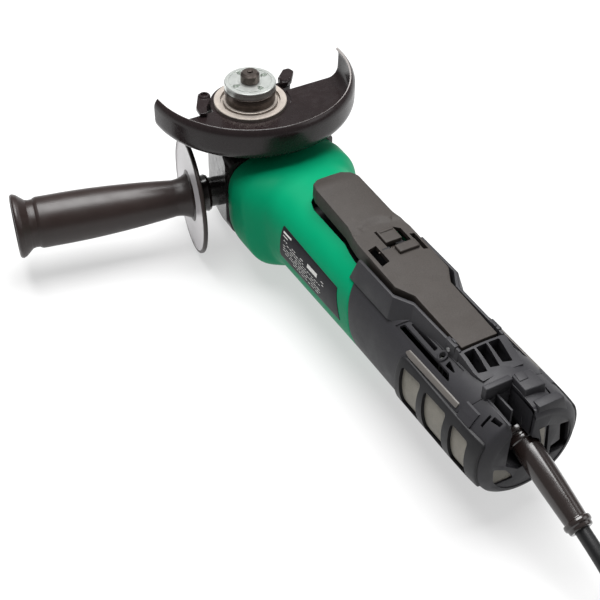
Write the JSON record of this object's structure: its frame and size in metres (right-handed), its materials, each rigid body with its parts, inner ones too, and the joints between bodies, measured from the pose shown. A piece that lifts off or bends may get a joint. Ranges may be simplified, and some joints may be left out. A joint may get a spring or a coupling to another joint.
{
  "type": "angle grinder",
  "caption": "Corded angle grinder with paddle switch, half-bowl wheel guard, side handle with flange disc, threaded spindle with lock nut and a mains lead.",
  "frame": {"origin": "on the spindle axis 0.4 mm above the outer face of the lock nut, where the free thread starts", "axes": "+Z along the spindle out of its threaded end, -Y along the body to the tail and cord, -X to the side handle"},
  "size_m": [0.3053, 0.637, 0.125],
  "materials": {
    "green_plastic": "fine satin moulding",
    "charcoal_plastic": "fine spark-eroded grain",
    "paddle_plastic": "fine grain, warm grey",
    "handle_plastic": "satin moulding",
    "rubber_black": "matt rubber",
    "painted_case": "satin paint on cast aluminium",
    "guard_steel": "satin black powder coat",
    "cast_aluminium": "turned and bead-blasted",
    "plated_steel": "zinc plated",
    "bright_steel": "ground",
    "dark_steel": "black oxide",
    "laminations": "stacked sheet",
    "copper": "enamelled copper wire",
    "spring_steel": "drawn wire",
    "plate_dark": "printed film",
    "filter_mesh": "fine woven mesh",
    "board_green": "circuit board",
    "switch_black": "moulded",
    "plunger_cream": "moulded",
    "lead_red": "soft insulation",
    "cord_rubber": "rubber sheath",
    "pin_brass": "nickel plated"
  },
  "bodies": {
    "root": {"gear_case": "painted_case", "packing_gland": "cast_aluminium", "gland_screws": "plated_steel", "bearing_retainer": "cast_aluminium", "spindle_bearing_front": "bright_steel", "spindle_bearing_rear": "bright_steel", "lock_spring": "spring_steel", "armature_bearing_front": "bright_steel", "armature_bearing_rear": "bright_steel", "rear_bearing_bush": "rubber_black", "stator_core": "laminations", "stator_windings": "copper", "fan_guide": "charcoal_plastic", "motor_housing": "green_plastic", "rear_housing": "charcoal_plastic", "tail_cover": "charcoal_plastic", "data_plate": "plate_dark", "housing_screws": "plated_steel", "controller_case": "charcoal_plastic", "controller_board": "board_green", "motor_leads": "lead_red", "switch_body": "switch_black", "paddle_pin": "bright_steel", "paddle_spring": "spring_steel", "filter_left": "filter_mesh", "filter_right": "filter_mesh", "filter_clips": "charcoal_plastic", "handle_flange": "handle_plastic", "handle_collar": "rubber_black", "handle_grip": "handle_plastic", "handle_stud": "plated_steel", "cord_boot": "rubber_black", "cord_clamp": "charcoal_plastic", "clamp_screws": "plated_steel", "mains_cord": "cord_rubber", "cord_coil": "cord_rubber", "plug_body": "cord_rubber", "plug_pins": "pin_brass"},
    "spindle": {"spindle_shaft": "dark_steel", "drive_gear": "dark_steel", "inner_flange": "dark_steel", "lock_nut": "plated_steel"},
    "armature": {"armature_shaft": "bright_steel", "pinion_gear": "dark_steel", "cooling_fan": "charcoal_plastic", "rotor_core": "laminations"},
    "guard": {"wheel_guard": "guard_steel", "guard_collar": "guard_steel", "guard_clamp_screw": "guard_steel"},
    "guard_lever": {"guard_lever": "guard_steel"},
    "spindle_lock": {"lock_button": "charcoal_plastic"},
    "paddle": {"paddle": "paddle_plastic", "lock_off_pin": "bright_steel", "lock_off_spring": "spring_steel"},
    "lock_off": {"lock_off_lever": "charcoal_plastic"},
    "plunger": {"switch_plunger": "plunger_cream"}
  },
  "joints": [
    {"name": "spindle_spin", "type": "hinge", "parent": "root", "child": "spindle", "pos_m": [0, 0, -0.02], "axis": [0, 0, 1], "continuous": true},
    {"name": "armature_spin", "type": "hinge", "parent": "root", "child": "armature", "pos_m": [0, -0.06, -0.06], "axis": [0, 1, 0], "continuous": true},
    {"name": "guard_turn", "type": "hinge", "parent": "root", "child": "guard", "pos_m": [0, 0, -0.0236], "axis": [0, 0, 1], "range_deg": [-90, 90]},
    {"name": "guard_lever_turn", "type": "hinge", "parent": "guard", "child": "guard_lever", "pos_m": [0.034, 0.009, -0.02], "axis": [0, 0, 1], "range_deg": [0, 20], "stiffness_Nm_per_rad": 0.02},
    {"name": "spindle_lock_press", "type": "slide", "parent": "root", "child": "spindle_lock", "axis": [0, 0, 1], "range_m": [0, 0.0045], "stiffness_N_per_m": 600, "deforming": ["lock_spring"]},
    {"name": "paddle_press", "type": "hinge", "parent": "root", "child": "paddle", "pos_m": [0, -0.281, -0.025], "axis": [-1, 0, 0], "range_deg": [0, 3.4], "stiffness_Nm_per_rad": 12, "springref_deg": -3.44, "deforming": ["paddle_spring"]},
    {"name": "lock_off_tilt", "type": "hinge", "parent": "paddle", "child": "lock_off", "pos_m": [0, -0.19426, -0.01775], "axis": [1, 0, 0], "range_deg": [0, 20], "stiffness_Nm_per_rad": 0.01},
    {"name": "plunger_press", "type": "slide", "parent": "root", "child": "plunger", "axis": [0, 0, -1], "range_m": [0, 0.00255]}
  ],
  "couplings": [
    {"joint": "armature_spin", "follows": "spindle_spin", "ratio": 3.3636},
    {"joint": "plunger_press", "follows": "paddle_press", "m_per_rad": 0.043}
  ]
}
